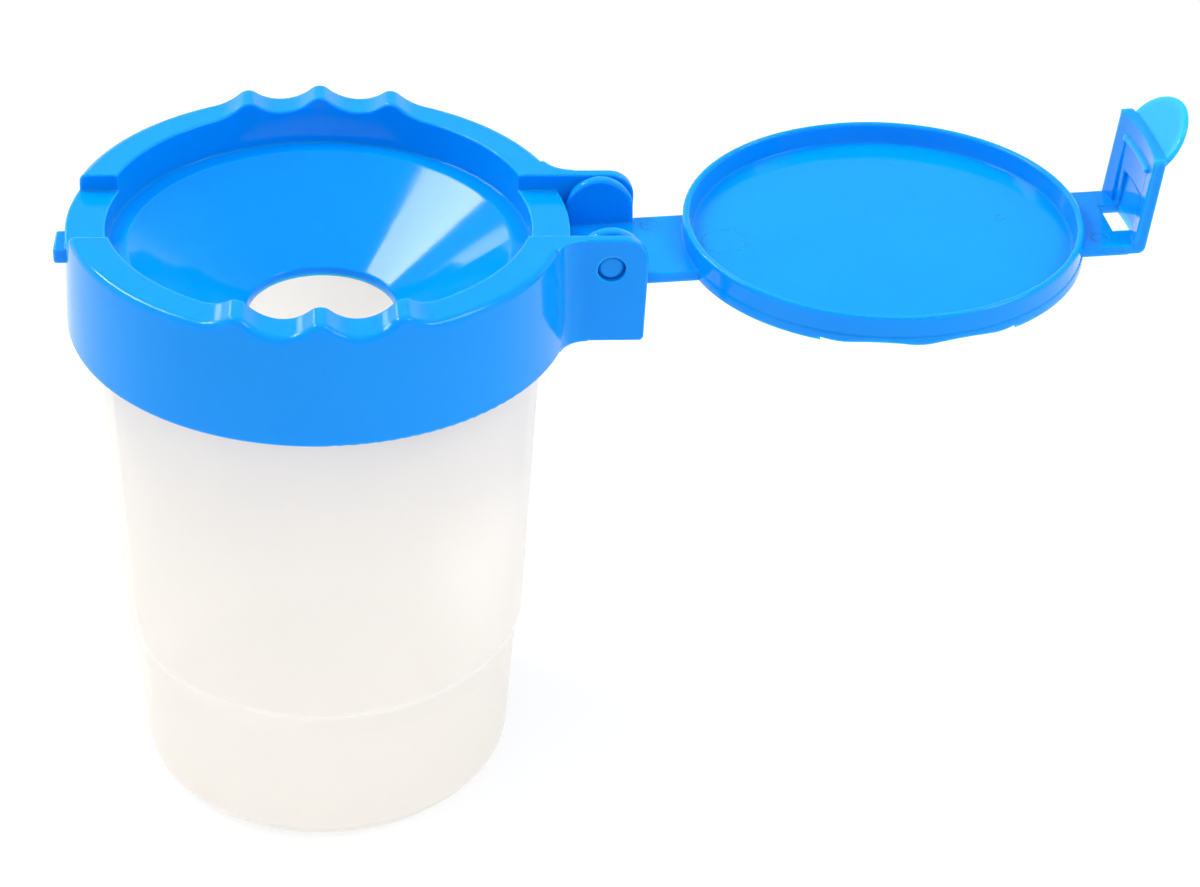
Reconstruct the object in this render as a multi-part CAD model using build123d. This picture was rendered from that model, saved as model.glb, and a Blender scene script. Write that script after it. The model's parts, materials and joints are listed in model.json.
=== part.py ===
from build123d import *
import math
import os

# Brush washer with a hinged lid: a translucent cup, a press-on collar with a funnel and two rows
# of brush rests, and a flat lid on two stub pins that snaps over a nub opposite the hinge.
# Millimetres, +Z up, +X towards the hinge, origin at the centre of the cup's flat underside.
# The lid and its latch are drawn shut, where they fit the collar, then swung open about the pins.

# Cup. Radii are those of its outer wall.
CUP_HEIGHT = 103.6
CUP_WALL = 1.3
CUP_FLOOR = 1.6
CUP_FOOT_RADIUS = 32.85
CUP_FOOT_ROUND = 2.9
CUP_STEP_BOTTOM_Z = 24.8
CUP_STEP_BOTTOM_RADIUS = 33.97
CUP_STEP_RISE = 4.6
CUP_STEP_OUT = 0.97
CUP_MOUTH_RADIUS = 36.8
CUP_LIP_ROUND = 0.4

# Collar: a plug inside the cup's mouth, a skirt outside it, and a rim plate that joins the two.
PLUG_CLEARANCE = 0.15
PLUG_WALL = 1.25
PLUG_DEPTH = 6.6
SEAT_MARGIN = 0.2
SKIRT_GAP = 1.5
SKIRT_WALL = 1.7
SKIRT_HEIGHT = 18.8
SKIRT_FLARE = 1.0
RIM_THICKNESS = 1.8
RIM_EDGE_ROUND = 1.2
WELL_EDGE_ROUND = 0.35
SLOT_EDGE_ROUND = 0.3
SKIRT_EDGE_ROUND = 0.4
SLOT_FLOOR = 1.5
SLOT_DEPTH = 2.9
SLOT_WALL = 1.4

# Funnel, moulded in one with the collar.
WELL_DEPTH = 6.5
WELL_DRAFT = 0.2
LEDGE_WIDTH = 3.1
FUNNEL_DEPTH = 12.4
FUNNEL_HOLE_RADIUS = 12.2
FUNNEL_WALL = 1.5
FUNNEL_EDGE_ROUND = 0.4

# Brush rests: scallops across the rim, front and back.
REST_PITCH = 12.27
REST_CREST_HEIGHT = 1.85
REST_DIP_DEPTH = 0.45
REST_CREST_RADIUS = 2.2
REST_SIDE_CRESTS = 1

# Lid: a round panel with a ring below it, on one long strap.
STRAP_WIDTH = 19.0
STRAP_SIDE_GAP = 0.5
STRAP_SEAT_GAP = 0.2
LID_THICKNESS = 1.6
LID_EDGE_ROUND = 0.35
LID_GAP = 1.0
RING_STEP = 0.2
RING_SEAT_GAP = 0.3
RING_FOOT_WALL = 1.7
RING_TIP_WALL = 1.1
RING_TIP_ROUND = 0.5

# Shallow waves in the lid's outer face, which repeat the brush rests.
WAVE_PITCH = 13.0
WAVE_RISE = 0.5
WAVE_TOP_DEPTH = 0.3
WAVE_CREST_RADIUS = 14.0
WAVE_END_MARGIN = 2.4

# Hinge: stub pins on two lugs of the lid, in holes in two ears of the collar.
PIN_RADIUS = 2.2
PIN_CLEARANCE = 0.08
PIN_RECESS = 0.6
PIN_CHAMFER = 0.5
PIN_DROP = 2.7
LUG_RADIUS = 5.6
LUG_THICKNESS = 1.9
LUG_EDGE_ROUND = 0.6
HINGE_GAP = 0.45
EAR_THICKNESS = 1.8
EAR_COVER = 0.3
EAR_TOP_ROUND = 4.2
EAR_BOTTOM_ROUND = 0.8
EAR_ROOT_ROUND = 5.0
EAR_EDGE_ROUND = 0.35
TAIL_GAP = 0.35
OPEN_ANGLE = 176.4

# Latch: a curved plate that hangs from the strap, with a catch pocket and a finger tab.
PLATE_GAP = 1.1
PLATE_LEAN = 5.8
PLATE_THICKNESS = 2.0
PLATE_HEIGHT = 15.4
PLATE_FOOT_ROUND = 1.2
RELIEF_HALF_WIDTH = 6.0
RELIEF_HEIGHT = 11.4
RELIEF_FOOT_DEPTH = 0.5
RELIEF_BAR_DEPTH = 0.1
BAR_HEIGHT = 0.9
BAR_PROUD = 0.4
CATCH_DROP = 6.4
CATCH_BITE = 0.2
CATCH_PLAY = 0.25
POCKET_SIDE_GAP = 1.4
POCKET_END_GAP = 0.15
WINDOW_INSET = 3.05
FLEX_INSET = 1.3
FLEX_CLEARANCE = 0.1
TAB_ANGLE = 51.0
TAB_LENGTH = 6.9
TAB_HALF_WIDTH = 8.7
TAB_THICKNESS = 1.2
TAB_SETBACK = 1.3
NUB_HALF_WIDTH = 3.0
NUB_HEIGHT = 2.45
NUB_ROUND = 0.4

# Heights that follow from the sizes above.
SLOT_FLOOR_Z = CUP_HEIGHT + SLOT_FLOOR
RIM_Z = SLOT_FLOOR_Z + SLOT_DEPTH
SKIRT_BOTTOM_Z = RIM_Z - SKIRT_HEIGHT
LEDGE_Z = RIM_Z - WELL_DEPTH
STRAP_Z = SLOT_FLOOR_Z + STRAP_SEAT_GAP
STRAP_TOP_Z = STRAP_Z + LID_THICKNESS
HINGE_Z = STRAP_Z - PIN_DROP

# Radii and widths that follow from the sizes above.
COLLAR_RADIUS = CUP_MOUTH_RADIUS + SKIRT_GAP + SKIRT_WALL
PLUG_RADIUS = CUP_MOUTH_RADIUS - CUP_WALL - PLUG_CLEARANCE
WELL_RADIUS = PLUG_RADIUS - PLUG_WALL
LEDGE_RADIUS = WELL_RADIUS - WELL_DRAFT - LEDGE_WIDTH
PANEL_RADIUS = WELL_RADIUS - LID_GAP
RING_RADIUS = PANEL_RADIUS - RING_STEP
SLOT_HALF_WIDTH = STRAP_WIDTH / 2 + STRAP_SIDE_GAP
POCKET_HALF_WIDTH = NUB_HALF_WIDTH + POCKET_SIDE_GAP
HINGE_X = COLLAR_RADIUS + LUG_RADIUS + HINGE_GAP
PLATE_RADIUS = COLLAR_RADIUS + PLATE_GAP
FLEX_X = -(PLATE_RADIUS - FLEX_INSET)
FLEX_Z = STRAP_Z + LID_THICKNESS / 2

# Reach of a cutting tool past the face that it cuts, and how near counts as lying on a face.
PAST = 5.0
NEAR = 0.05


def cup_radius(z):
    """Outer radius of the cup's upper wall at a height."""
    step_z = CUP_STEP_BOTTOM_Z + CUP_STEP_RISE
    step_radius = CUP_STEP_BOTTOM_RADIUS + CUP_STEP_OUT
    slope = (CUP_MOUTH_RADIUS - step_radius) / (CUP_HEIGHT - step_z)
    return step_radius + slope * (z - step_z)


def skirt_radius(z):
    """Outer radius of the collar's skirt at a height."""
    return COLLAR_RADIUS + SKIRT_FLARE * (RIM_Z - z) / SKIRT_HEIGHT


def well_radius(z):
    """Inner radius of the collar's well at a height, straight above the rim's level."""
    return WELL_RADIUS - WELL_DRAFT * max(0.0, (RIM_Z - z) / WELL_DEPTH)


def plate_radius(drop):
    """Inner radius of the latch plate at a distance below the strap."""
    return PLATE_RADIUS + drop * math.tan(math.radians(PLATE_LEAN))


def relief_depth(drop):
    """Depth of the plate's relief, which runs out towards the bar, at a distance below the strap."""
    return RELIEF_FOOT_DEPTH + (RELIEF_BAR_DEPTH - RELIEF_FOOT_DEPTH) * drop / RELIEF_HEIGHT


def nub_reach():
    """Radius of the nub's tip, which the latch's catch ledge has to snap over."""
    return plate_radius(CATCH_DROP) + relief_depth(CATCH_DROP) + CATCH_BITE


def pocket_radius(drop):
    """Radius of the catch pocket's floor, which leans with the plate and clears the nub's top."""
    nub_top_drop = CATCH_DROP - CATCH_PLAY - NUB_HEIGHT
    return nub_reach() + POCKET_END_GAP + plate_radius(drop) - plate_radius(nub_top_drop)


def outline(corners):
    """Flat face through corners given as (x, y) or, for a rounded corner, (x, y, radius)."""
    face = make_face(Polyline(*[corner[:2] for corner in corners], close=True))
    for corner in corners:
        if len(corner) == 3:
            vertex = face.vertices().sort_by_distance((corner[0], corner[1], 0))[0]
            face = fillet(vertex, corner[2])
    return face


def turned(corners):
    """Solid turned about the Z axis from corners given as (radius, z)."""
    return revolve(Plane.XZ * outline(corners), Axis.Z)


def across(face, half_width):
    """Solid from a face drawn in X and Z, reaching the same way along +Y and -Y."""
    return extrude(Plane.XZ * face, half_width, both=True)


def block(x_range, y_range, z_range):
    """Box between two limits along each axis."""
    middle = [sum(limits) / 2 for limits in (x_range, y_range, z_range)]
    size = [limits[1] - limits[0] for limits in (x_range, y_range, z_range)]
    return Pos(*middle) * Box(*size)


def wave(pitch, top, bottom, crest_radius, side_crests, level):
    """Edges of a row of scallops, left to right, whose ends run out tangent to a level."""
    centres = [index * pitch for index in range(-side_crests, side_crests + 1)]
    rise = top - bottom
    radii_sum = (rise**2 + (pitch / 2) ** 2) / (2 * rise)
    dip_radius = radii_sum - crest_radius
    end_rise = top - level
    end_reach = math.sqrt(2 * radii_sum * end_rise - end_rise**2)
    inner_turn = math.degrees(math.asin(pitch / 2 / radii_sum))
    outer_turn = math.degrees(math.asin(end_reach / radii_sum))
    first_x = centres[0] - end_reach
    last_x = centres[-1] + end_reach
    edges = [CenterArc((first_x, level + dip_radius), dip_radius, 270, outer_turn)]
    for index, x in enumerate(centres):
        left_turn = outer_turn if index == 0 else inner_turn
        right_turn = outer_turn if index == len(centres) - 1 else inner_turn
        crest = (x, top - crest_radius)
        edges.append(CenterArc(crest, crest_radius, 90 + left_turn, -left_turn - right_turn))
        if x < centres[-1]:
            dip = (x + pitch / 2, bottom + dip_radius)
            edges.append(CenterArc(dip, dip_radius, 270 - inner_turn, 2 * inner_turn))
    edges.append(CenterArc((last_x, level + dip_radius), dip_radius, 270 - outer_turn, outer_turn))
    return edges, first_x, last_x


def make_cup():
    """Tapered cup with a low step in its wall, wider above the step."""
    step_top_z = CUP_STEP_BOTTOM_Z + CUP_STEP_RISE
    step_top_radius = CUP_STEP_BOTTOM_RADIUS + CUP_STEP_OUT
    return turned([
        (0, 0),
        (CUP_FOOT_RADIUS, 0, CUP_FOOT_ROUND),
        (CUP_STEP_BOTTOM_RADIUS, CUP_STEP_BOTTOM_Z),
        (step_top_radius, step_top_z),
        (CUP_MOUTH_RADIUS, CUP_HEIGHT, CUP_LIP_ROUND),
        (CUP_MOUTH_RADIUS - CUP_WALL, CUP_HEIGHT, CUP_LIP_ROUND),
        (step_top_radius - CUP_WALL, step_top_z),
        (CUP_STEP_BOTTOM_RADIUS - CUP_WALL, CUP_STEP_BOTTOM_Z),
        (CUP_FOOT_RADIUS - CUP_WALL, CUP_FLOOR, CUP_FOOT_ROUND - CUP_WALL),
        (0, CUP_FLOOR),
    ])


def make_collar_shell():
    """Skirt, rim plate, plug, ledge and funnel as one turned shell, drawn above the rim's level."""
    top_z = RIM_Z + REST_CREST_HEIGHT + PAST
    plug_bottom_z = CUP_HEIGHT - PLUG_DEPTH
    plug_taper = cup_radius(CUP_HEIGHT) - cup_radius(plug_bottom_z)
    seat_radius = CUP_MOUTH_RADIUS + SEAT_MARGIN
    rim_under_z = RIM_Z - RIM_THICKNESS
    hole_z = LEDGE_Z - FUNNEL_DEPTH
    ledge_inside = well_radius(LEDGE_Z)
    return turned([
        (skirt_radius(top_z), top_z),
        (skirt_radius(SKIRT_BOTTOM_Z), SKIRT_BOTTOM_Z, SKIRT_EDGE_ROUND),
        (skirt_radius(SKIRT_BOTTOM_Z) - SKIRT_WALL, SKIRT_BOTTOM_Z, SKIRT_EDGE_ROUND),
        (skirt_radius(rim_under_z) - SKIRT_WALL, rim_under_z),
        (seat_radius, rim_under_z),
        (seat_radius, CUP_HEIGHT),
        (PLUG_RADIUS, CUP_HEIGHT),
        (PLUG_RADIUS - plug_taper, plug_bottom_z),
        (PLUG_RADIUS - plug_taper - PLUG_WALL, plug_bottom_z),
        (ledge_inside, LEDGE_Z - FUNNEL_WALL),
        (LEDGE_RADIUS, LEDGE_Z - FUNNEL_WALL),
        (FUNNEL_HOLE_RADIUS, hole_z - FUNNEL_WALL),
        (FUNNEL_HOLE_RADIUS, hole_z, FUNNEL_EDGE_ROUND),
        (LEDGE_RADIUS, LEDGE_Z, FUNNEL_EDGE_ROUND),
        (ledge_inside, LEDGE_Z),
        (WELL_RADIUS, RIM_Z),
        (WELL_RADIUS, top_z),
    ])


def space_above_rim():
    """Everything over the rim's level and its scallops, to be cut away from the turned shell."""
    edges, first_x, last_x = wave(
        REST_PITCH,
        RIM_Z + REST_CREST_HEIGHT,
        RIM_Z - REST_DIP_DEPTH,
        REST_CREST_RADIUS,
        REST_SIDE_CRESTS,
        RIM_Z,
    )
    reach = skirt_radius(SKIRT_BOTTOM_Z) + PAST
    top_z = RIM_Z + REST_CREST_HEIGHT + 2 * PAST
    frame = Polyline((last_x, RIM_Z), (reach, RIM_Z), (reach, top_z), (-reach, top_z),
                     (-reach, RIM_Z), (first_x, RIM_Z))
    return across(make_face(edges + [frame]), reach)


def make_ear(side):
    """Hinge ear that grows out of the skirt; side is +1 behind and -1 in front."""
    inner_y = SLOT_HALF_WIDTH
    outer_y = SLOT_HALF_WIDTH + EAR_THICKNESS
    root_x = math.sqrt((COLLAR_RADIUS - SKIRT_WALL / 2) ** 2 - outer_y**2)
    end_x = HINGE_X + LUG_RADIUS + EAR_COVER
    face = outline([
        (root_x, SKIRT_BOTTOM_Z),
        (end_x, SKIRT_BOTTOM_Z, EAR_BOTTOM_ROUND),
        (end_x, RIM_Z, EAR_TOP_ROUND),
        (root_x, RIM_Z),
    ])
    plate = across(face, EAR_THICKNESS / 2)
    free_edges = [edge for edge in face_edges(plate) if (edge @ 0.5).X > root_x + NEAR]
    plate = Pos(0, side * (inner_y + outer_y) / 2, 0) * fillet(free_edges, EAR_EDGE_ROUND)
    gusset = loft([ear_root_face(side, SKIRT_BOTTOM_Z), ear_root_face(side, RIM_Z)], ruled=True)
    return plate + gusset


def face_edges(plate):
    """Edges of a flat plate's two faces, which lie square to the Y axis."""
    return [edge for edge in plate.edges() if abs((edge @ 0).Y - (edge @ 1).Y) < NEAR]


def ear_root_face(side, z):
    """Level slice of the hollow rounding between an ear's outer face and the skirt."""
    face_y = SLOT_HALF_WIDTH + EAR_THICKNESS
    radius = skirt_radius(z)
    centre_y = face_y + EAR_ROOT_ROUND
    centre_x = math.sqrt((radius + EAR_ROOT_ROUND) ** 2 - centre_y**2)
    lean = math.degrees(math.atan2(centre_y, centre_x))
    share = radius / (radius + EAR_ROOT_ROUND)
    inner_share = (radius - SKIRT_WALL / 2) / (radius + EAR_ROOT_ROUND)
    hollow = CenterArc((centre_x, centre_y), EAR_ROOT_ROUND, 180 + lean, 90 - lean)
    skirt_x, skirt_y = centre_x * share, centre_y * share
    root_x = math.sqrt((radius - SKIRT_WALL / 2) ** 2 - (face_y - EAR_THICKNESS / 2) ** 2)
    rest = Polyline(
        (centre_x, face_y),
        (centre_x, face_y - EAR_THICKNESS / 2),
        (root_x, face_y - EAR_THICKNESS / 2),
        (centre_x * inner_share, centre_y * inner_share),
        (skirt_x, skirt_y),
    )
    face = make_face([hollow, rest])
    if side < 0:
        face = mirror(face, Plane.XZ)
    return Pos(0, 0, z) * face


def make_slot(side):
    """Slot for the strap, cut across the rim; side is +1 at the hinge and -1 at the latch."""
    inner_x = WELL_RADIUS - PAST
    outer_x = skirt_radius(SKIRT_BOTTOM_Z) + PAST
    half = SLOT_HALF_WIDTH
    return block(sorted((side * inner_x, side * outer_x)), (-half, half), (SLOT_FLOOR_Z, RIM_Z + PAST))


def make_slot_bed(side):
    """Solid bed round a slot, between the plug and the skirt, which keeps the slot's floor whole."""
    half = SLOT_HALF_WIDTH + SLOT_WALL
    outer_x = COLLAR_RADIUS + PAST
    bed = block(sorted((0, side * outer_x)), (-half, half), (CUP_HEIGHT, RIM_Z - RIM_THICKNESS / 2))
    ring = turned([
        (CUP_MOUTH_RADIUS, CUP_HEIGHT),
        (skirt_radius(CUP_HEIGHT) - SKIRT_WALL / 2, CUP_HEIGHT),
        (skirt_radius(RIM_Z) - SKIRT_WALL / 2, RIM_Z),
        (CUP_MOUTH_RADIUS, RIM_Z),
    ])
    return bed & ring


def make_nub():
    """Catch nub on the skirt, opposite the hinge, rounded along its outer edges."""
    bottom_z = STRAP_Z - CATCH_DROP + CATCH_PLAY
    top_z = bottom_z + NUB_HEIGHT
    root_x = -(skirt_radius(top_z) - SKIRT_WALL / 2)
    nub = block((-nub_reach(), root_x), (-NUB_HALF_WIDTH, NUB_HALF_WIDTH), (bottom_z, top_z))
    tip = nub.faces().sort_by(Axis.X)[0]
    return fillet(tip.edges(), NUB_ROUND)


def rim_edges(shape, wall_radius):
    """Edges of the rim and its scallops along one of its walls, between the slots."""
    lowest_z = RIM_Z - REST_DIP_DEPTH - NEAR
    found = []
    for edge in shape.edges():
        middle = edge @ 0.5
        on_wall = abs(math.hypot(middle.X, middle.Y) - wall_radius(middle.Z)) < NEAR
        beside_slot = abs(middle.Y) > SLOT_HALF_WIDTH + NEAR
        if on_wall and beside_slot and middle.Z > lowest_z:
            found.append(edge)
    return found


def slot_edges(shape):
    """Long edges of the two slots, on top of the rim."""
    found = []
    for edge in shape.edges():
        middle = edge @ 0.5
        if abs(abs(middle.Y) - SLOT_HALF_WIDTH) < NEAR and abs(middle.Z - RIM_Z) < NEAR:
            found.append(edge)
    return found


def make_collar():
    """Collar with funnel, brush rests, strap slots, hinge ears and catch nub."""
    collar = make_collar_shell() - space_above_rim()
    for side in (1, -1):
        collar = collar + make_slot_bed(side) - make_slot(side)
    collar = fillet(rim_edges(collar, skirt_radius), RIM_EDGE_ROUND)
    collar = fillet(rim_edges(collar, well_radius), WELL_EDGE_ROUND)
    collar = fillet(slot_edges(collar), SLOT_EDGE_ROUND)
    collar += make_nub()
    for side in (1, -1):
        collar += make_ear(side)
    hole = Pos(HINGE_X, HINGE_Z) * Circle(PIN_RADIUS + PIN_CLEARANCE)
    return collar - across(hole, SLOT_HALF_WIDTH + EAR_THICKNESS + PAST)


def make_panel():
    """Round panel with the ring that stands in the well below it."""
    tip_z = LEDGE_Z + RING_SEAT_GAP
    return turned([
        (0, STRAP_Z),
        (RING_RADIUS - RING_FOOT_WALL, STRAP_Z),
        (RING_RADIUS - RING_TIP_WALL, tip_z, RING_TIP_ROUND),
        (RING_RADIUS, tip_z, RING_TIP_ROUND),
        (RING_RADIUS, STRAP_Z),
        (PANEL_RADIUS, STRAP_Z, LID_EDGE_ROUND / 2),
        (PANEL_RADIUS, STRAP_TOP_Z),
        (0, STRAP_TOP_Z),
    ])


def panel_waves():
    """Tool that sinks the shallow waves into the panel's outer face."""
    top = STRAP_TOP_Z - WAVE_TOP_DEPTH
    half_pitch = WAVE_PITCH / 2
    end_x = WAVE_PITCH + WAVE_END_MARGIN
    radii_sum = (WAVE_RISE**2 + half_pitch**2) / (2 * WAVE_RISE)
    turn = math.degrees(math.asin(half_pitch / radii_sum))
    end_turn = math.degrees(math.asin(WAVE_END_MARGIN / WAVE_CREST_RADIUS))
    dip_radius = radii_sum - WAVE_CREST_RADIUS
    edges = []
    for index in (-1, 0, 1):
        left_turn = end_turn if index == -1 else turn
        right_turn = end_turn if index == 1 else turn
        crest = (index * WAVE_PITCH, top - WAVE_CREST_RADIUS)
        edges.append(CenterArc(crest, WAVE_CREST_RADIUS, 90 + left_turn, -left_turn - right_turn))
    for x in (-half_pitch, half_pitch):
        edges.append(CenterArc((x, top - WAVE_RISE + dip_radius), dip_radius, 270 - turn, 2 * turn))
    end_z = top - WAVE_CREST_RADIUS * (1 - math.cos(math.radians(end_turn)))
    above_z = STRAP_TOP_Z + PAST
    frame = Polyline((end_x, end_z), (end_x, above_z), (-end_x, above_z), (-end_x, end_z))
    return across(make_face(edges + [frame]), PANEL_RADIUS + PAST)


def make_lug(side):
    """Lug that carries a stub pin; side is +1 behind and -1 in front."""
    outer_y = STRAP_WIDTH / 2
    tip_y = SLOT_HALF_WIDTH + EAR_THICKNESS - PIN_RECESS
    disc = Pos(HINGE_X, HINGE_Z) * Circle(LUG_RADIUS)
    neck = outline([
        (HINGE_X - LUG_RADIUS, HINGE_Z),
        (HINGE_X + LUG_RADIUS, HINGE_Z),
        (tail_x(), STRAP_TOP_Z),
        (HINGE_X - LUG_RADIUS, STRAP_TOP_Z),
    ])
    above = Pos(HINGE_X, STRAP_TOP_Z) * Rectangle(
        2 * (LUG_RADIUS + PAST), LUG_RADIUS + PAST, align=(Align.CENTER, Align.MIN))
    lug = across(disc + neck - above, LUG_THICKNESS / 2)
    lower_edges = [edge for edge in face_edges(lug) if (edge @ 0.5).Z < HINGE_Z]
    lug = fillet(lower_edges, LUG_EDGE_ROUND)
    lug = Pos(0, side * (outer_y - LUG_THICKNESS / 2), 0) * lug
    start_y = outer_y - LUG_THICKNESS / 2
    pin = Cylinder(PIN_RADIUS, tip_y - start_y, align=(Align.CENTER, Align.CENTER, Align.MIN))
    pin = chamfer(pin.faces().sort_by(Axis.Z)[-1].edges(), PIN_CHAMFER)
    pin = Pos(HINGE_X, side * start_y, HINGE_Z) * Rot(-90 * side, 0, 0) * pin
    return lug + pin


def tail_x():
    """End of the strap past the pins, which meets the skirt and stops the lid when it is open."""
    lowest_z = HINGE_Z - PIN_DROP - LID_THICKNESS
    return 2 * HINGE_X - skirt_radius(lowest_z) - TAIL_GAP


def flex_axis_cylinder(radius):
    """Rod along the line about which the latch bends."""
    return Pos(FLEX_X, 0, FLEX_Z) * Rot(90, 0, 0) * Cylinder(radius, STRAP_WIDTH)


def catch_window():
    """Space for the nub: a window through the strap that runs on as the pocket in the plate."""
    half = POCKET_HALF_WIDTH
    bottom_z = STRAP_Z - CATCH_DROP
    top_z = STRAP_TOP_Z + PAST
    cone = turned([
        (0, bottom_z),
        (pocket_radius(CATCH_DROP), bottom_z),
        (pocket_radius(STRAP_Z - top_z), top_z),
        (0, top_z),
    ])
    x_range = (-pocket_radius(CATCH_DROP) - PAST, -(PLATE_RADIUS - WINDOW_INSET))
    return cone & block(x_range, (-half, half), (bottom_z, top_z))


def make_lid():
    """Lid, shut: panel, ring, strap, lugs and pins."""
    half = STRAP_WIDTH / 2
    strap = block((FLEX_X, tail_x()), (-half, half), (STRAP_Z, STRAP_TOP_Z))
    inner_edges = strap.edges().filter_by(Axis.X).sort_by(Axis.Z)[:2]
    lid = make_panel() + fillet(inner_edges, LID_EDGE_ROUND) - panel_waves()
    lid += make_lug(1)
    lid += make_lug(-1)
    lid -= flex_axis_cylinder(LID_THICKNESS / 2 + FLEX_CLEARANCE)
    return lid - catch_window()


def plate_sector(drops, inner_gaps, outer_gaps, half_width):
    """Sector of the leaning latch wall between two drops, with each face's gap to it at both."""
    top, bottom = drops
    sector = turned([
        (plate_radius(top) + inner_gaps[0], STRAP_Z - top),
        (plate_radius(top) + outer_gaps[0], STRAP_Z - top),
        (plate_radius(bottom) + outer_gaps[1], STRAP_Z - bottom),
        (plate_radius(bottom) + inner_gaps[1], STRAP_Z - bottom),
    ])
    reach = plate_radius(bottom) + PAST
    span = (STRAP_Z - bottom - PAST, STRAP_TOP_Z + PAST)
    return sector & block((-reach, FLEX_X + PAST), (-half_width, half_width), span)


def make_tab():
    """Finger tab that flares out from the plate's free edge."""
    root_radius = plate_radius(PLATE_HEIGHT) + TAB_SETBACK
    angle = math.radians(TAB_ANGLE)
    along = Vector(-math.cos(angle), 0, -math.sin(angle))
    outward = Vector(-math.sin(angle), 0, math.cos(angle))
    root = Plane(origin=(-root_radius, 0, STRAP_Z - PLATE_HEIGHT), x_dir=(0, 1, 0), z_dir=outward)
    overlap = TAB_SETBACK
    half_oval = Ellipse(TAB_HALF_WIDTH, TAB_LENGTH)
    way = 1 if root.y_dir.dot(along) > 0 else -1
    half_oval &= Pos(0, way * TAB_LENGTH / 2) * Rectangle(2 * TAB_HALF_WIDTH, TAB_LENGTH)
    heel = Pos(0, -way * overlap / 2) * Rectangle(2 * TAB_HALF_WIDTH, overlap)
    return extrude(root * (half_oval + heel), TAB_THICKNESS)


def make_latch():
    """Latch, shut: foot at the strap's end, curved plate with relief, bar and pocket, and tab."""
    half = STRAP_WIDTH / 2
    reach = PLATE_RADIUS + PLATE_THICKNESS
    foot_disc = turned([
        (0, STRAP_Z),
        (reach, STRAP_Z),
        (reach, STRAP_TOP_Z, PLATE_FOOT_ROUND),
        (0, STRAP_TOP_Z),
    ])
    foot = foot_disc & block((-reach - PAST, FLEX_X), (-half, half), (STRAP_Z, STRAP_TOP_Z))
    latch = foot + flex_axis_cylinder(LID_THICKNESS / 2)
    latch += plate_sector((0, PLATE_HEIGHT), (0, 0), (PLATE_THICKNESS,) * 2, half)
    relief_depths = (RELIEF_FOOT_DEPTH, RELIEF_BAR_DEPTH)
    latch -= plate_sector((0, RELIEF_HEIGHT), (-PAST, -PAST), relief_depths, RELIEF_HALF_WIDTH)
    bar_drops = (RELIEF_HEIGHT, RELIEF_HEIGHT + BAR_HEIGHT)
    bar_root = PLATE_THICKNESS / 2
    latch += plate_sector(bar_drops, (-BAR_PROUD,) * 2, (bar_root, bar_root), RELIEF_HALF_WIDTH)
    latch += make_tab()
    return latch - catch_window()


def opened(shape):
    """Swing a shape from the shut lid's place to the open one, about the hinge pins."""
    return shape.rotate(Axis((HINGE_X, 0, HINGE_Z), (0, 1, 0)), OPEN_ANGLE)


def main():
    os.makedirs("parts", exist_ok=True)
    parts = {
        "cup": make_cup(),
        "collar": make_collar(),
        "lid": opened(make_lid()),
        "latch": opened(make_latch()),
    }
    for name, shape in parts.items():
        export_step(shape, f"parts/{name}.step")
        size = shape.bounding_box()
        print(name, len(shape.solids()), round(shape.volume, 1), size)
    flex = opened(Vertex(FLEX_X, 0, FLEX_Z)).center()
    print("hinge axis", HINGE_X, HINGE_Z)
    print("flex axis", round(flex.X, 3), round(flex.Z, 3))


main()
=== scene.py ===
import json
import math

import bmesh
import bpy
from mathutils import Matrix, Vector


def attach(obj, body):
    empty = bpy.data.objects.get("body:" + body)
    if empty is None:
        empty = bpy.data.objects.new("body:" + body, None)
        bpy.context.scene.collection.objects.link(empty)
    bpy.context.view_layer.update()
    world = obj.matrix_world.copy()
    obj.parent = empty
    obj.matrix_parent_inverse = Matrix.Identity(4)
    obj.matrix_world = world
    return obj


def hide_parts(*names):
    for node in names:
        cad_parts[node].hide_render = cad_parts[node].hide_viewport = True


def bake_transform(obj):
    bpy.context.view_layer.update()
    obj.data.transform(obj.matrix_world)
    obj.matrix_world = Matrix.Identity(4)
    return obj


# Brush washer with a hinged lid. The cup, the collar and the lid are the frame's own solids. The
# latch is drawn here in one with the strap's end, as it is moulded, so that no joint shows where
# it bends. It is drawn on the shut lid, then swung open about the hinge.
# Sizes are millimetres in the frame's axes: +Z up, +X towards the hinge, the cup's foot at zero.
# Angles are degrees.

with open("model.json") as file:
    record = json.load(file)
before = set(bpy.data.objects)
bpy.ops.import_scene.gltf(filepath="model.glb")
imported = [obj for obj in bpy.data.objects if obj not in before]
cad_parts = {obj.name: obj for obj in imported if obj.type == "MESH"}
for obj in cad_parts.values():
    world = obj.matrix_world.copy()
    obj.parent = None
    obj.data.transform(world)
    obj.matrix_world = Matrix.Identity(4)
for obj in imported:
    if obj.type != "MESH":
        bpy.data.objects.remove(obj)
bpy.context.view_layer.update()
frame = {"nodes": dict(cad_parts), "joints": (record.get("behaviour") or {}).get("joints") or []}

MM = 0.001

# Strap's end on the shut lid, a hair proud of the lid's solid, which it sinks into past the bend.
STRAP_Z = 105.3
STRAP_THICKNESS = 1.6
STRAP_HALF_WIDTH = 9.5
STRAP_TOP_Z = STRAP_Z + STRAP_THICKNESS
SLEEVE_PROUD = 0.015
SLEEVE_LENGTH = 1.2
SLEEVE_TAPER = 1.4
SLEEVE_SINK = 0.3

# Bend between the strap and the latch plate: its line, and how far past its line the strip starts
# to follow an arc about the cup's axis.
FLEX_X = -39.8
ARC_AFTER = 0.5

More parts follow.
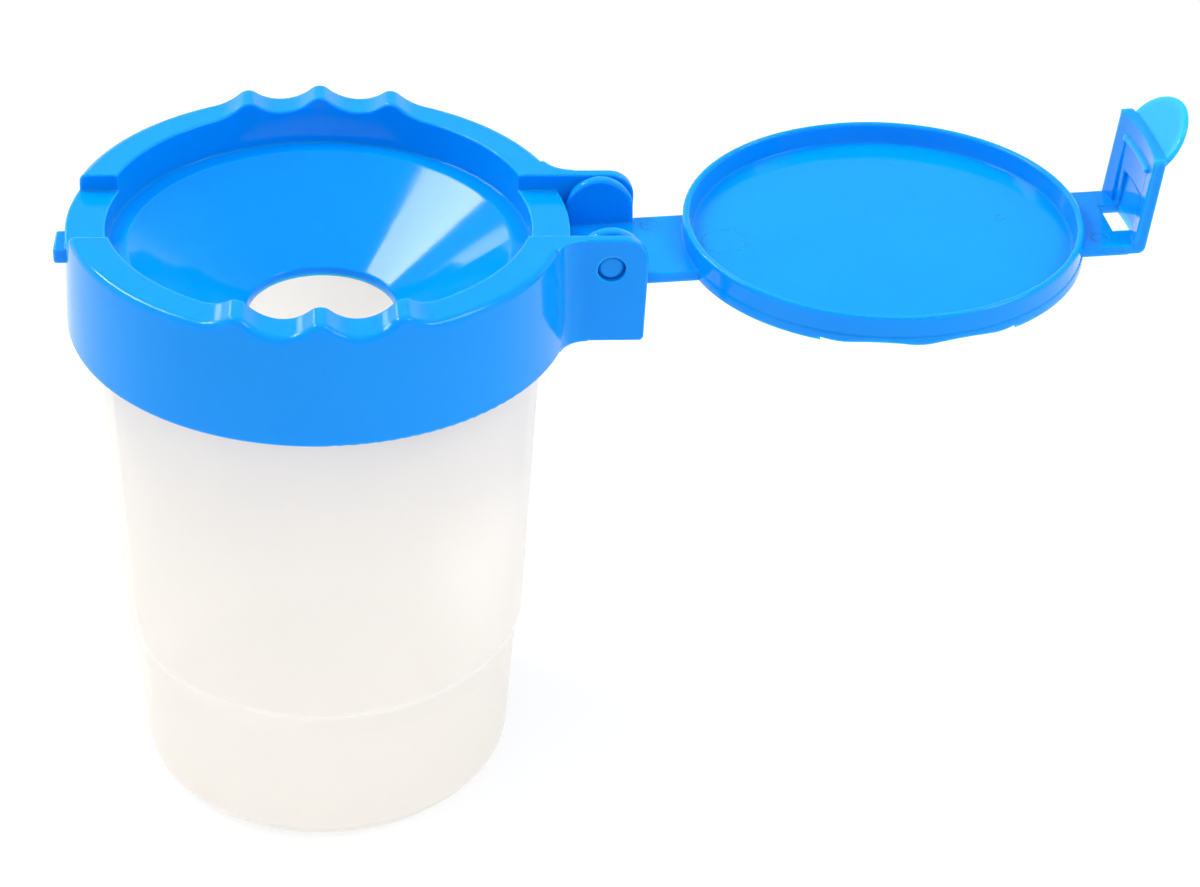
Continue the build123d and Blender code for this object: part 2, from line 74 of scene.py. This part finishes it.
# Latch plate, measured outwards from the cup's axis, and downwards from the strap.
PLATE_RADIUS = 41.1
PLATE_LEAN = 5.8
PLATE_THICKNESS = 2.0
PLATE_HEIGHT = 15.4
PLATE_FOOT_ROUND = 1.2
EDGE_ROUND = 0.35
RELIEF_HALF_WIDTH = 6.0
RELIEF_SIDE = 0.25
RELIEF_HEIGHT = 11.4
RELIEF_FOOT_DEPTH = 0.5
RELIEF_BAR_DEPTH = 0.1
BAR_HEIGHT = 0.9
BAR_PROUD = 0.6
CATCH_DROP = 6.4
WINDOW_X = -38.05
POCKET_HALF_WIDTH = 4.4
POCKET_FOOT_RADIUS = 41.99

# Finger tab, a half oval that flares out from the plate's free edge.
TAB_ANGLE = 51.0
TAB_LENGTH = 6.9
TAB_HALF_WIDTH = 8.7
TAB_THICKNESS = 0.95
TAB_SETBACK = 1.3
TAB_ROUNDNESS = 1.85

# Marks that the mould's ejector pins leave on the lid's inner face: (x, y, radius) from its centre.
EJECTOR_MARKS = ((26.2, 0.0, 3.75), (37.8, 6.4, 1.5), (-35.4, -6.2, 1.5), (-20.5, 2.4, 0.8))
MARK_WIDTH = 0.32
MARK_HEIGHT = 0.05

# Heights where the cup's wall bends, where a lighter line is painted as a painted highlight for the
# light its edge catches, and half that line's width.
FOOT_FOLD_Z = 1.5
STEP_FOLD_Z = 30.0
PAINTED_LINE_HALF_WIDTH = 0.9

# Fineness of the meshes.
ARC_STEPS = 6
COLUMN_WIDTH = 0.7
FACE_STEPS = 12
SIDE_STEPS = 4
BAR_STEPS = 10
TAB_STEPS = 56
MARK_STEPS = 72
SMOOTH_ANGLE = 32.0
SHARPEST_MITRE = 0.3
WELD = 0.004

# Camera: its place, turn and lens were worked out from the photograph's outlines.
IMAGE_WIDTH = 1200
CAMERA_PLACE = (2.28, -325.40, 288.21)
CAMERA_YAW = 7.93
CAMERA_PITCH = 34.71
CAMERA_ROLL = 3.76
FOCAL_LENGTH_PX = 2296.93
SENSOR_WIDTH = 36.0

# Colours as sRGB hex values.
MILK = "#FFFDFA"
MILK_SHADE = "#FEFCF8"
BLUE_PAINTED_GLOW = "#2CBEFF"
BLUE = "#0091EA"
BLUE_DEEP = "#008DE8"
WHITE = "#FFFFFF"
PAPER = "#FAFAFA"

# Painted glow of thin blue parts: a lighter blue painted into the colour where light would pass
# through thin plastic. Rays cast inwards over the reach tell how thick a part is: it glows fully
# where up to the first share of them stay inside, and not at all from the second share on.
MOULDED_REACH = 0.9
LATCH_GLOW_REACH = 1.5
GLOW_SHARES = (0.25, 0.65)
GLOW_SAMPLES = 6
GLOW_DEPTH = 1.4

# Faces. The polished ones vary in dye and roughness over broad patches and have faint ripples, the
# satin ones have a cloudy tint and a fine grain, and blue edges look rounded by a radius.
PLASTIC_IOR = 1.49
POLISH = (0.09, 0.13)
DYE_WIDTH = 14.0
RIPPLE_WIDTH = 5.0
RIPPLE_HEIGHT = 0.02
CLOUD_WIDTH = 18.0
GRAIN_WIDTH = 0.5
GRAIN_HEIGHT = 0.01
EDGE_RADIUS = 0.6
EDGE_SAMPLES = 16

# Cup's wall: the share of light that it softens, and how clear it is at its folds and elsewhere.
# At the folds it is less clear, which paints a lighter line there, a painted highlight.
SOFTENED = 0.5
CLEAR_AT_PAINTED_LINE = 0.08
CLEAR_WALL = 0.42

# Light. A strip softbox to the left and behind shows as the bright streak on the funnel, a small
# one farther round as the faint patch beside the streak, and a square one stands to the right.
# Each has its place and aim, the way its first side runs, its two sides and its strength, where 1
# shows as white.
SOFTBOXES = {
    "back_strip": ((-376, 258, 619), (15, 15, 96), (-0.183, 0.807, -0.561), (340, 125), 19.0),
    "far_box": ((-316, 563, 336), (27, 3, 98), (0.85, 0.52, 0.0), (90, 80), 3.5),
    "side_box": ((432, -107, 547), (35, -25, 104), (0.2, 0.98, 0.0), (220, 220), 6.0),
}

# Surroundings: what lights the object, at the horizon and added overhead, and what is seen there.
HORIZON_LIGHT = 0.56
OVERHEAD_LIGHT = 0.85
WALL_SHOWS = 1.0
CEILING_SHOWS = 0.4
WALL_TOP = 0.2
CEILING_EDGE = 0.45
FLOOR_HALF_WIDTH = 3000.0
FLOOR_SHOWS = 0.7


def linear(hex_colour):
    """Linear RGBA of an sRGB hex colour."""
    channels = [int(hex_colour[i:i + 2], 16) / 255 for i in (1, 3, 5)]
    levels = [c / 12.92 if c <= 0.04045 else ((c + 0.055) / 1.055) ** 2.4 for c in channels]
    return (*levels, 1.0)


def add_node(tree, kind, settings=None, links=None):
    """New shader node with its settings by name and its inputs as values or linked sockets."""
    node = tree.nodes.new(kind)
    for name, value in (settings or {}).items():
        setattr(node, name, value)
    for name, value in (links or {}).items():
        if isinstance(value, bpy.types.NodeSocket):
            tree.links.new(value, node.inputs[name])
        else:
            node.inputs[name].default_value = value
    return node


def new_material(name):
    """Material with its node tree and its main shader."""
    material = bpy.data.materials.new(name)
    material.use_nodes = True
    tree = material.node_tree
    return material, tree, tree.nodes["Principled BSDF"]


def blue_polypropylene(name, reach):
    """Moulded polypropylene, dyed through and glossy from a polished mould: bright and slightly
    waxy, with a faint unevenness in its reflections. Edges and parts thinner than its reach in
    millimetres get a lighter blue painted into their colour, a painted glow for passing light."""
    material, tree, shader = new_material(name)
    place = add_node(tree, "ShaderNodeTexCoord").outputs["Object"]
    flow = add_node(tree, "ShaderNodeTexNoise", links={
        "Vector": place,
        "Scale": 1 / (DYE_WIDTH * MM),
        "Detail": 1.0,
    })
    tint = add_node(tree, "ShaderNodeValToRGB", links={"Fac": flow.outputs["Fac"]})
    tint.color_ramp.elements[0].color = linear(BLUE_DEEP)
    tint.color_ramp.elements[1].color = linear(BLUE)
    probe = {"inside": True, "only_local": True, "samples": GLOW_SAMPLES}
    # Painted glow: the colour turns lighter where the part is thin, standing in for light through it.
    depth = add_node(tree, "ShaderNodeAmbientOcclusion", probe, {"Distance": reach * MM})
    thickness = add_node(tree, "ShaderNodeMapRange", links={
        "Value": depth.outputs["AO"],
        "From Min": GLOW_SHARES[0],
        "From Max": GLOW_SHARES[1],
    })
    colour = add_node(tree, "ShaderNodeMix", {"data_type": "RGBA"}, {
        "Factor": thickness.outputs["Result"],
        6: linear(BLUE_PAINTED_GLOW),
        7: tint.outputs["Color"],
    })
    tree.links.new(colour.outputs[2], shader.inputs["Base Color"])
    shader.inputs["IOR"].default_value = PLASTIC_IOR
    shader.inputs["Specular IOR Level"].default_value = 0.22
    shader.inputs["Subsurface Weight"].default_value = 0.6
    shader.inputs["Subsurface Radius"].default_value = (0.05, 0.9, 1.2)
    shader.inputs["Subsurface Scale"].default_value = GLOW_DEPTH * MM
    polish = add_node(tree, "ShaderNodeMapRange", links={
        "Value": flow.outputs["Fac"],
        "To Min": POLISH[0],
        "To Max": POLISH[1],
    })
    tree.links.new(polish.outputs["Result"], shader.inputs["Roughness"])
    edge = add_node(tree, "ShaderNodeBevel", {"samples": EDGE_SAMPLES}, {"Radius": EDGE_RADIUS * MM})
    ripple = add_node(tree, "ShaderNodeTexNoise", links={
        "Vector": place,
        "Scale": 1 / (RIPPLE_WIDTH * MM),
        "Detail": 2.0,
    })
    uneven = add_node(tree, "ShaderNodeBump", links={
        "Height": ripple.outputs["Fac"],
        "Distance": RIPPLE_HEIGHT * MM,
        "Strength": 0.5,
        "Normal": edge.outputs["Normal"],
    })
    tree.links.new(uneven.outputs["Normal"], shader.inputs["Normal"])
    return material


def milky_polypropylene():
    """Undyed polypropylene with a satin mould finish: milky white, and light comes through it
    softened, so the far wall shows only as a faint shade. Its folds get a lighter line painted on by
    making the wall less clear there, a painted highlight for the light that their edges catch."""
    material, tree, shader = new_material("milky_polypropylene_satin")
    place = add_node(tree, "ShaderNodeTexCoord").outputs["Object"]
    cloud = add_node(tree, "ShaderNodeTexNoise", links={
        "Vector": place,
        "Scale": 1 / (CLOUD_WIDTH * MM),
        "Detail": 1.0,
    })
    tint = add_node(tree, "ShaderNodeValToRGB", links={"Fac": cloud.outputs["Fac"]})
    tint.color_ramp.elements[0].color = linear(MILK_SHADE)
    tint.color_ramp.elements[1].color = linear(MILK)
    tree.links.new(tint.outputs["Color"], shader.inputs["Base Color"])
    shader.inputs["Roughness"].default_value = 0.3
    shader.inputs["IOR"].default_value = PLASTIC_IOR
    grain = add_node(tree, "ShaderNodeTexNoise", links={
        "Vector": place,
        "Scale": 1 / (GRAIN_WIDTH * MM),
        "Detail": 2.0,
    })
    satin = add_node(tree, "ShaderNodeBump", links={
        "Height": grain.outputs["Fac"],
        "Distance": GRAIN_HEIGHT * MM,
        "Strength": 0.6,
    })
    tree.links.new(satin.outputs["Normal"], shader.inputs["Normal"])
    softened = add_node(tree, "ShaderNodeBsdfTranslucent", links={"Color": linear(MILK)})
    body = add_node(tree, "ShaderNodeMixShader", links={
        "Fac": SOFTENED,
        1: shader.outputs["BSDF"],
        2: softened.outputs["BSDF"],
    })
    clear = add_node(tree, "ShaderNodeBsdfTransparent", links={"Color": linear(MILK)})
    height = add_node(tree, "ShaderNodeSeparateXYZ", links={"Vector": place}).outputs["Z"]
    # Painted highlight: the wall is less clear near each fold's height, so a lighter line shows there.
    away = []
    for fold_z in (FOOT_FOLD_Z, STEP_FOLD_Z):
        above = add_node(tree, "ShaderNodeMath", {"operation": "SUBTRACT"}, {0: height, 1: fold_z * MM})
        gap = add_node(tree, "ShaderNodeMath", {"operation": "ABSOLUTE"}, {0: above.outputs["Value"]})
        away.append(gap.outputs["Value"])
    nearest = add_node(tree, "ShaderNodeMath", {"operation": "MINIMUM"}, {0: away[0], 1: away[1]})
    clearness_with_painted_lines = add_node(tree, "ShaderNodeMapRange", {"interpolation_type": "SMOOTHSTEP"}, {
        "Value": nearest.outputs["Value"],
        "From Max": PAINTED_LINE_HALF_WIDTH * MM,
        "To Min": CLEAR_AT_PAINTED_LINE,
        "To Max": CLEAR_WALL,
    })
    wall = add_node(tree, "ShaderNodeMixShader", links={
        "Fac": clearness_with_painted_lines.outputs["Result"],
        1: body.outputs["Shader"],
        2: clear.outputs["BSDF"],
    })
    tree.links.new(wall.outputs["Shader"], tree.nodes["Material Output"].inputs["Surface"])
    return material


def rounded(corners):
    """Points of a closed outline whose corners are (x, y) or, for a rounded one, (x, y, radius)."""
    points = []
    for index, corner in enumerate(corners):
        here = Vector(corner[:2])
        if len(corner) == 2:
            points.append(here)
            continue
        back = (Vector(corners[index - 1][:2]) - here).normalized()
        ahead = (Vector(corners[(index + 1) % len(corners)][:2]) - here).normalized()
        half = back.angle(ahead) / 2
        centre = here + (back + ahead).normalized() * corner[2] / math.sin(half)
        start = here + back * corner[2] / math.tan(half) - centre
        end = here + ahead * corner[2] / math.tan(half) - centre
        first = math.atan2(start.y, start.x)
        sweep = (math.atan2(end.y, end.x) - first + math.pi) % (2 * math.pi) - math.pi
        for step in range(ARC_STEPS + 1):
            angle = first + sweep * step / ARC_STEPS
            points.append(centre + corner[2] * Vector((math.cos(angle), math.sin(angle))))
    return points


def inset(points, depth):
    """Closed outline moved inwards by a depth, whichever way round it runs."""
    area = sum(a.cross(b) for a, b in zip(points, points[1:] + points[:1]))
    side = 1 if area > 0 else -1
    moved = []
    for index, here in enumerate(points):
        back = (here - points[index - 1]).normalized()
        ahead = (points[(index + 1) % len(points)] - here).normalized()
        normals = [Vector((-way.y, way.x)) * side for way in (back, ahead)]
        middle = (normals[0] + normals[1]).normalized()
        moved.append(here + middle * depth / max(middle.dot(normals[0]), SHARPEST_MITRE))
    return moved


def bridge(bm, rows):
    """Faces from each row of points, closed round, to the next row."""
    for one, two in zip(rows, rows[1:]):
        for index in range(len(one)):
            after = (index + 1) % len(one)
            bm.faces.new((one[index], one[after], two[after], two[index]))


def mesh_object(name, bm):
    """Object with the mesh that was drawn, whose drafting copy is then freed."""
    mesh = bpy.data.meshes.new(name)
    bm.to_mesh(mesh)
    bm.free()
    return bpy.data.objects.new(name, mesh)


def skin(name, loops):
    """Closed object through loops of points with as many points each, capped at both ends."""
    bm = bmesh.new()
    rows = [[bm.verts.new(Vector(point) * MM) for point in loop] for loop in loops]
    bridge(bm, rows)
    bm.faces.new(rows[0])
    bm.faces.new(rows[-1])
    tidy(bm)
    return mesh_object(name, bm)


def tidy(bm):
    """Weld points that meet, split large faces and mark the edges that are truly sharp."""
    bmesh.ops.remove_doubles(bm, verts=bm.verts, dist=WELD * MM)
    bmesh.ops.dissolve_degenerate(bm, edges=bm.edges, dist=WELD * MM)
    bmesh.ops.triangulate(bm, faces=[face for face in bm.faces if len(face.verts) > 4])
    bmesh.ops.recalc_face_normals(bm, faces=bm.faces)
    for face in bm.faces:
        face.smooth = True
    for edge in bm.edges:
        edge.smooth = edge.calc_face_angle(0) < math.radians(SMOOTH_ANGLE)


def stations(half_width, marks=()):
    """Places along Y from side to side, with the inset there, for rounded side edges."""
    flat = half_width - EDGE_ROUND
    count = math.ceil(2 * flat / COLUMN_WIDTH)
    places = {-flat + 2 * flat * column / count for column in range(count + 1)} | set(marks)
    found = [(place, 0.0) for place in sorted(places)]
    for step in range(1, ARC_STEPS + 1):
        turn = math.pi / 2 * step / ARC_STEPS
        offset = flat + EDGE_ROUND * math.sin(turn)
        depth = EDGE_ROUND * (1 - math.cos(turn))
        found.append((offset, depth))
        found.insert(0, (-offset, depth))
    return found


def plate_radius(drop):
    """Inner radius of the latch plate at a distance below the strap."""
    return PLATE_RADIUS + drop * math.tan(math.radians(PLATE_LEAN))


def relief_depth(drop, y):
    """Depth of the plate's relief, which runs out towards the bar, with slanted sides."""
    if drop > RELIEF_HEIGHT:
        return 0.0
    side = min(max((RELIEF_HALF_WIDTH - abs(y)) / RELIEF_SIDE, 0.0), 1.0)
    return side * (RELIEF_FOOT_DEPTH + (RELIEF_BAR_DEPTH - RELIEF_FOOT_DEPTH) * drop / RELIEF_HEIGHT)


def bar_height(drop, y):
    """Height of the low rounded bar across the plate, past the end of its relief."""
    across = 2 * (drop - RELIEF_HEIGHT) / BAR_HEIGHT - 1
    end = min(max((RELIEF_HALF_WIDTH - abs(y)) / RELIEF_SIDE, 0.0), 1.0)
    if abs(across) >= 1:
        return 0.0
    return BAR_PROUD * math.sqrt(1 - across**4) * math.sqrt(1 - (1 - end) ** 2)


def plate_outline(y):
    """Outline of the strap's end, the bend and the plate at one place along Y, as (x, z) on the
    plane through the cup's axis."""
    free_z = STRAP_Z - PLATE_HEIGHT
    sleeve_x = FLEX_X + SLEEVE_LENGTH
    end_x = sleeve_x + SLEEVE_TAPER
    free_radius = plate_radius(PLATE_HEIGHT)
    outside = rounded([
        (end_x, STRAP_TOP_Z - SLEEVE_SINK),
        (sleeve_x, STRAP_TOP_Z + SLEEVE_PROUD),
        (FLEX_X, STRAP_TOP_Z + SLEEVE_PROUD),
        (-PLATE_RADIUS - PLATE_THICKNESS, STRAP_TOP_Z + SLEEVE_PROUD, PLATE_FOOT_ROUND),
        (-free_radius - PLATE_THICKNESS, free_z, EDGE_ROUND),
        (-free_radius, free_z, EDGE_ROUND),
        (end_x, STRAP_Z),
    ])[:-1]
    lowest = PLATE_HEIGHT - EDGE_ROUND
    bar_drops = [RELIEF_HEIGHT + BAR_HEIGHT * step / BAR_STEPS for step in range(BAR_STEPS + 1)]
    face_drops = [lowest * step / FACE_STEPS for step in range(FACE_STEPS)]
    clear_drops = [drop for drop in face_drops if abs(drop - RELIEF_HEIGHT) > BAR_HEIGHT]
    inside = []
    for drop in sorted(clear_drops + bar_drops, reverse=True):
        depth = relief_depth(drop, y) - bar_height(drop, y)
        level = STRAP_Z - drop if drop else STRAP_Z - SLEEVE_PROUD
        inside.append(Vector((-plate_radius(drop) - depth, level)))
    strap_end = [
        Vector((FLEX_X, STRAP_Z - SLEEVE_PROUD)),
        Vector((sleeve_x, STRAP_Z - SLEEVE_PROUD)),
        Vector((end_x, STRAP_Z + SLEEVE_SINK)),
    ]
    return outside + inside + strap_end


def place_on_latch(point, y):
    """Place of an outline's point: on an arc about the cup's axis, or straight along the strap."""
    if point.x <= FLEX_X - ARC_AFTER:
        return -math.sqrt(point.x**2 - y**2), y, point.y
    sunk = min(max((point.x - FLEX_X - SLEEVE_LENGTH) / SLEEVE_TAPER, 0.0), 1.0) * SLEEVE_SINK
    return point.x, y * (1 - sunk / STRAP_HALF_WIDTH), point.y


def make_plate():
    """Strap's end and latch plate as one bent strip."""
    sides = [RELIEF_HALF_WIDTH - RELIEF_SIDE * step / SIDE_STEPS for step in range(SIDE_STEPS + 1)]
    marks = sides + [-side for side in sides]
    loops = []
    for y, depth in stations(STRAP_HALF_WIDTH + SLEEVE_PROUD, marks):
        points = plate_outline(y)
        points = inset(points, depth) if depth else points
        loops.append([place_on_latch(point, y) for point in points])
    return skin("plate", loops)


def make_window():
    """Space for the catch nub: a window through the strap that runs on as a pocket in the plate."""
    top_z = STRAP_TOP_Z + STRAP_THICKNESS
    bottom_z = STRAP_Z - CATCH_DROP
    lean = math.tan(math.radians(PLATE_LEAN))
    half_width = POCKET_HALF_WIDTH - SLEEVE_PROUD
    outline = [
        Vector((WINDOW_X - SLEEVE_PROUD, bottom_z)),
        Vector((WINDOW_X - SLEEVE_PROUD, top_z)),
        Vector((-POCKET_FOOT_RADIUS - (STRAP_Z - top_z) * lean, top_z)),
        Vector((-POCKET_FOOT_RADIUS - CATCH_DROP * lean, bottom_z)),
    ]
    count = math.ceil(2 * half_width / COLUMN_WIDTH)
    loops = []
    for column in range(count + 1):
        y = half_width * (2 * column / count - 1)
        loops.append([place_on_latch(point, y) for point in outline])
    return skin("window", loops)


def make_tab():
    """Half-oval finger tab that leans out of the plate's free edge."""
    angle = math.radians(TAB_ANGLE)
    along = Vector((-math.cos(angle), 0, -math.sin(angle)))
    outward = Vector((-math.sin(angle), 0, math.cos(angle)))
    root = Vector((-plate_radius(PLATE_HEIGHT) - TAB_SETBACK, 0, STRAP_Z - PLATE_HEIGHT))
    middle = root + outward * TAB_THICKNESS / 2
    outline = []
    for step in range(TAB_STEPS + 1):
        turn = math.pi * step / TAB_STEPS
        reach = TAB_LENGTH * math.sin(turn) ** (2 / TAB_ROUNDNESS)
        side = math.copysign(abs(math.cos(turn)) ** (2 / TAB_ROUNDNESS), math.cos(turn))
        outline.append(Vector((reach, TAB_HALF_WIDTH * side)))
    outline += [Vector((-TAB_SETBACK, -TAB_HALF_WIDTH)), Vector((-TAB_SETBACK, TAB_HALF_WIDTH))]
    loops = []
    for offset, depth in stations(TAB_THICKNESS / 2):
        points = inset(outline, depth) if depth else outline
        loops.append([middle + along * p.x + Vector((0, p.y, 0)) + outward * offset for p in points])
    return skin("tab", loops)


def combined(base, other, operation):
    """Mesh object of a base with another joined to it or cut from it."""
    for piece in (base, other):
        bpy.context.scene.collection.objects.link(piece)
    step = base.modifiers.new("combine", "BOOLEAN")
    step.operation = operation
    step.solver = "EXACT"
    step.object = other
    graph = bpy.context.evaluated_depsgraph_get()
    mesh = bpy.data.meshes.new_from_object(base.evaluated_get(graph))
    bpy.data.objects.remove(base)
    bpy.data.objects.remove(other)
    return bpy.data.objects.new("combined", mesh)


def ejector_marks():
    """Thin raised rings on the lid's inner face, left by the ejector pins' edges."""
    section = ((-MARK_WIDTH / 2, MARK_HEIGHT), (0, -MARK_HEIGHT), (MARK_WIDTH / 2, MARK_HEIGHT))
    bm = bmesh.new()
    for x, y, radius in EJECTOR_MARKS:
        rows = []
        for step in range(MARK_STEPS):
            turn = 2 * math.pi * step / MARK_STEPS
            way = Vector((math.cos(turn), math.sin(turn), 0))
            points = [Vector((x, y, STRAP_Z + up)) + way * (radius + out) for out, up in section]
            rows.append([bm.verts.new(point * MM) for point in points])
        bridge(bm, rows + rows[:1])
    bmesh.ops.recalc_face_normals(bm, faces=bm.faces)
    return mesh_object("ejector_marks", bm)


def joint(name):
    """The frame's joint of that name."""
    return next(item for item in frame["joints"] if item["name"] == name)


def swing_open(piece):
    """Turn a piece of the shut lid to the place that it has at rest, wide open."""
    hinge = joint("lid_hinge")
    place = Vector(hinge["pos_m"])
    turn = Matrix.Rotation(-math.radians(hinge["range_deg"][1]), 4, Vector(hinge["axis"]))
    piece.data.transform(Matrix.Translation(place) @ turn @ Matrix.Translation(-place))
    bpy.context.scene.collection.objects.link(piece)


def make_latch(blue):
    """Latch moulded in one with the strap's end, which bends at the corner between them."""
    latch = combined(make_plate(), make_tab(), "UNION")
    latch = combined(latch, make_window(), "DIFFERENCE")
    latch.name = "latch_moulding"
    swing_open(latch)
    bm = bmesh.new()
    bm.from_mesh(latch.data)
    tidy(bm)
    bm.to_mesh(latch.data)
    bm.free()
    latch.data.materials.clear()
    latch.data.materials.append(blue)
    even = latch.modifiers.new("even", "WEIGHTED_NORMAL")
    even.keep_sharp = True
    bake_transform(latch)
    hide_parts("latch")


def make_marks(blue):
    """Ejector marks, which ride on the lid."""
    marks = ejector_marks()
    swing_open(marks)
    marks.data.materials.append(blue)
    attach(marks, "lid")


def make_camera():
    """Camera at the photograph's place, from its yaw, pitch and roll."""
    yaw, pitch, roll = (math.radians(a) for a in (CAMERA_YAW, CAMERA_PITCH, CAMERA_ROLL))
    ahead = Vector((math.sin(yaw) * math.cos(pitch), math.cos(yaw) * math.cos(pitch), -math.sin(pitch)))
    level = Vector((math.cos(yaw), -math.sin(yaw), 0))
    above = level.cross(ahead)
    right = math.cos(roll) * level + math.sin(roll) * above
    up = -math.sin(roll) * level + math.cos(roll) * above
    data = bpy.data.cameras.new("camera")
    data.sensor_width = SENSOR_WIDTH
    data.sensor_fit = "HORIZONTAL"
    data.lens = FOCAL_LENGTH_PX / IMAGE_WIDTH * SENSOR_WIDTH
    data.clip_start = 0.01
    data.clip_end = 20
    camera = bpy.data.objects.new("camera", data)
    turn = Matrix((right, up, -ahead)).transposed().to_4x4()
    camera.matrix_world = Matrix.Translation(Vector(CAMERA_PLACE) * MM) @ turn
    bpy.context.scene.collection.objects.link(camera)
    bpy.context.scene.camera = camera


def seen_directly(tree):
    """1 where the camera looks, also in a reflection or through something clear, and 0 elsewhere."""
    path = add_node(tree, "ShaderNodeLightPath")
    seen = add_node(tree, "ShaderNodeMath", {"operation": "MAXIMUM"}, {
        0: path.outputs["Is Camera Ray"],
        1: path.outputs["Is Glossy Ray"],
    })
    seen = add_node(tree, "ShaderNodeMath", {"operation": "MAXIMUM"}, {
        0: seen.outputs["Value"],
        1: path.outputs["Is Transmission Ray"],
    })
    return seen.outputs["Value"]


def make_floor():
    """Pale paper floor that the camera sees almost white, with the object's shadow kept."""
    bm = bmesh.new()
    bmesh.ops.create_grid(bm, x_segments=1, y_segments=1, size=FLOOR_HALF_WIDTH * MM)
    floor = mesh_object("floor", bm)
    bpy.context.scene.collection.objects.link(floor)
    material, tree, shader = new_material("floor_paper")
    shader.inputs["Base Color"].default_value = linear(PAPER)
    shader.inputs["Roughness"].default_value = 0.9
    glow = add_node(tree, "ShaderNodeEmission", links={"Strength": 1.0})
    seen = add_node(tree, "ShaderNodeMixShader", links={
        "Fac": FLOOR_SHOWS,
        1: shader.outputs["BSDF"],
        2: glow.outputs["Emission"],
    })
    choice = add_node(tree, "ShaderNodeMixShader", links={
        "Fac": seen_directly(tree),
        1: shader.outputs["BSDF"],
        2: seen.outputs["Shader"],
    })
    tree.links.new(choice.outputs["Shader"], tree.nodes["Material Output"].inputs["Surface"])
    floor.data.materials.append(material)


def make_world():
    """Pale room: white walls and a dimmer ceiling are seen, and the light falls mostly from above."""
    world = bpy.data.worlds.new("studio")
    world.use_nodes = True
    tree = world.node_tree
    background = tree.nodes["Background"]
    way = add_node(tree, "ShaderNodeTexCoord").outputs["Generated"]
    height = add_node(tree, "ShaderNodeSeparateXYZ", links={"Vector": way}).outputs["Z"]
    light = add_node(tree, "ShaderNodeMapRange", links={
        "Value": height,
        "To Min": HORIZON_LIGHT,
        "To Max": HORIZON_LIGHT + OVERHEAD_LIGHT,
    })
    shown = add_node(tree, "ShaderNodeMapRange", {"interpolation_type": "SMOOTHSTEP"}, {
        "Value": height,
        "From Min": WALL_TOP,
        "From Max": CEILING_EDGE,
        "To Min": WALL_SHOWS,
        "To Max": CEILING_SHOWS,
    })
    strength = add_node(tree, "ShaderNodeMapRange", links={
        "Value": seen_directly(tree),
        "To Min": light.outputs["Result"],
        "To Max": shown.outputs["Result"],
    })
    tree.links.new(strength.outputs["Result"], background.inputs["Strength"])
    background.inputs["Color"].default_value = linear(WHITE)
    bpy.context.scene.world = world


def make_softbox(name, place, aim, along, sides, strength):
    """Rectangular softbox, placed and aimed in millimetres, its first side along a direction."""
    data = bpy.data.lights.new(name, "AREA")
    data.shape = "RECTANGLE"
    data.size, data.size_y = (side * MM for side in sides)
    data.energy = strength * math.pi * data.size * data.size_y
    lamp = bpy.data.objects.new(name, data)
    back = (Vector(place) - Vector(aim)).normalized()
    across = back.cross(Vector(along)).normalized()
    turn = Matrix((across.cross(back), across, back)).transposed().to_4x4()
    lamp.matrix_world = Matrix.Translation(Vector(place) * MM) @ turn
    bpy.context.scene.collection.objects.link(lamp)


def main():
    bpy.context.scene.view_settings.view_transform = "Standard"
    make_camera()
    make_world()
    make_floor()
    for name, settings in SOFTBOXES.items():
        make_softbox(name, *settings)
    blue = blue_polypropylene("blue_polypropylene_moulded", MOULDED_REACH)
    # The latch's copy has a longer reach, so the painted glow spreads over its thicker parts too.
    latch_glow_blue = blue_polypropylene("blue_polypropylene_latch_painted_glow", LATCH_GLOW_REACH)
    milk = milky_polypropylene()
    for name, node in frame["nodes"].items():
        node.data.materials.clear()
        node.data.materials.append(milk if name == "cup" else blue)
    make_latch(latch_glow_blue)
    make_marks(blue)


main()
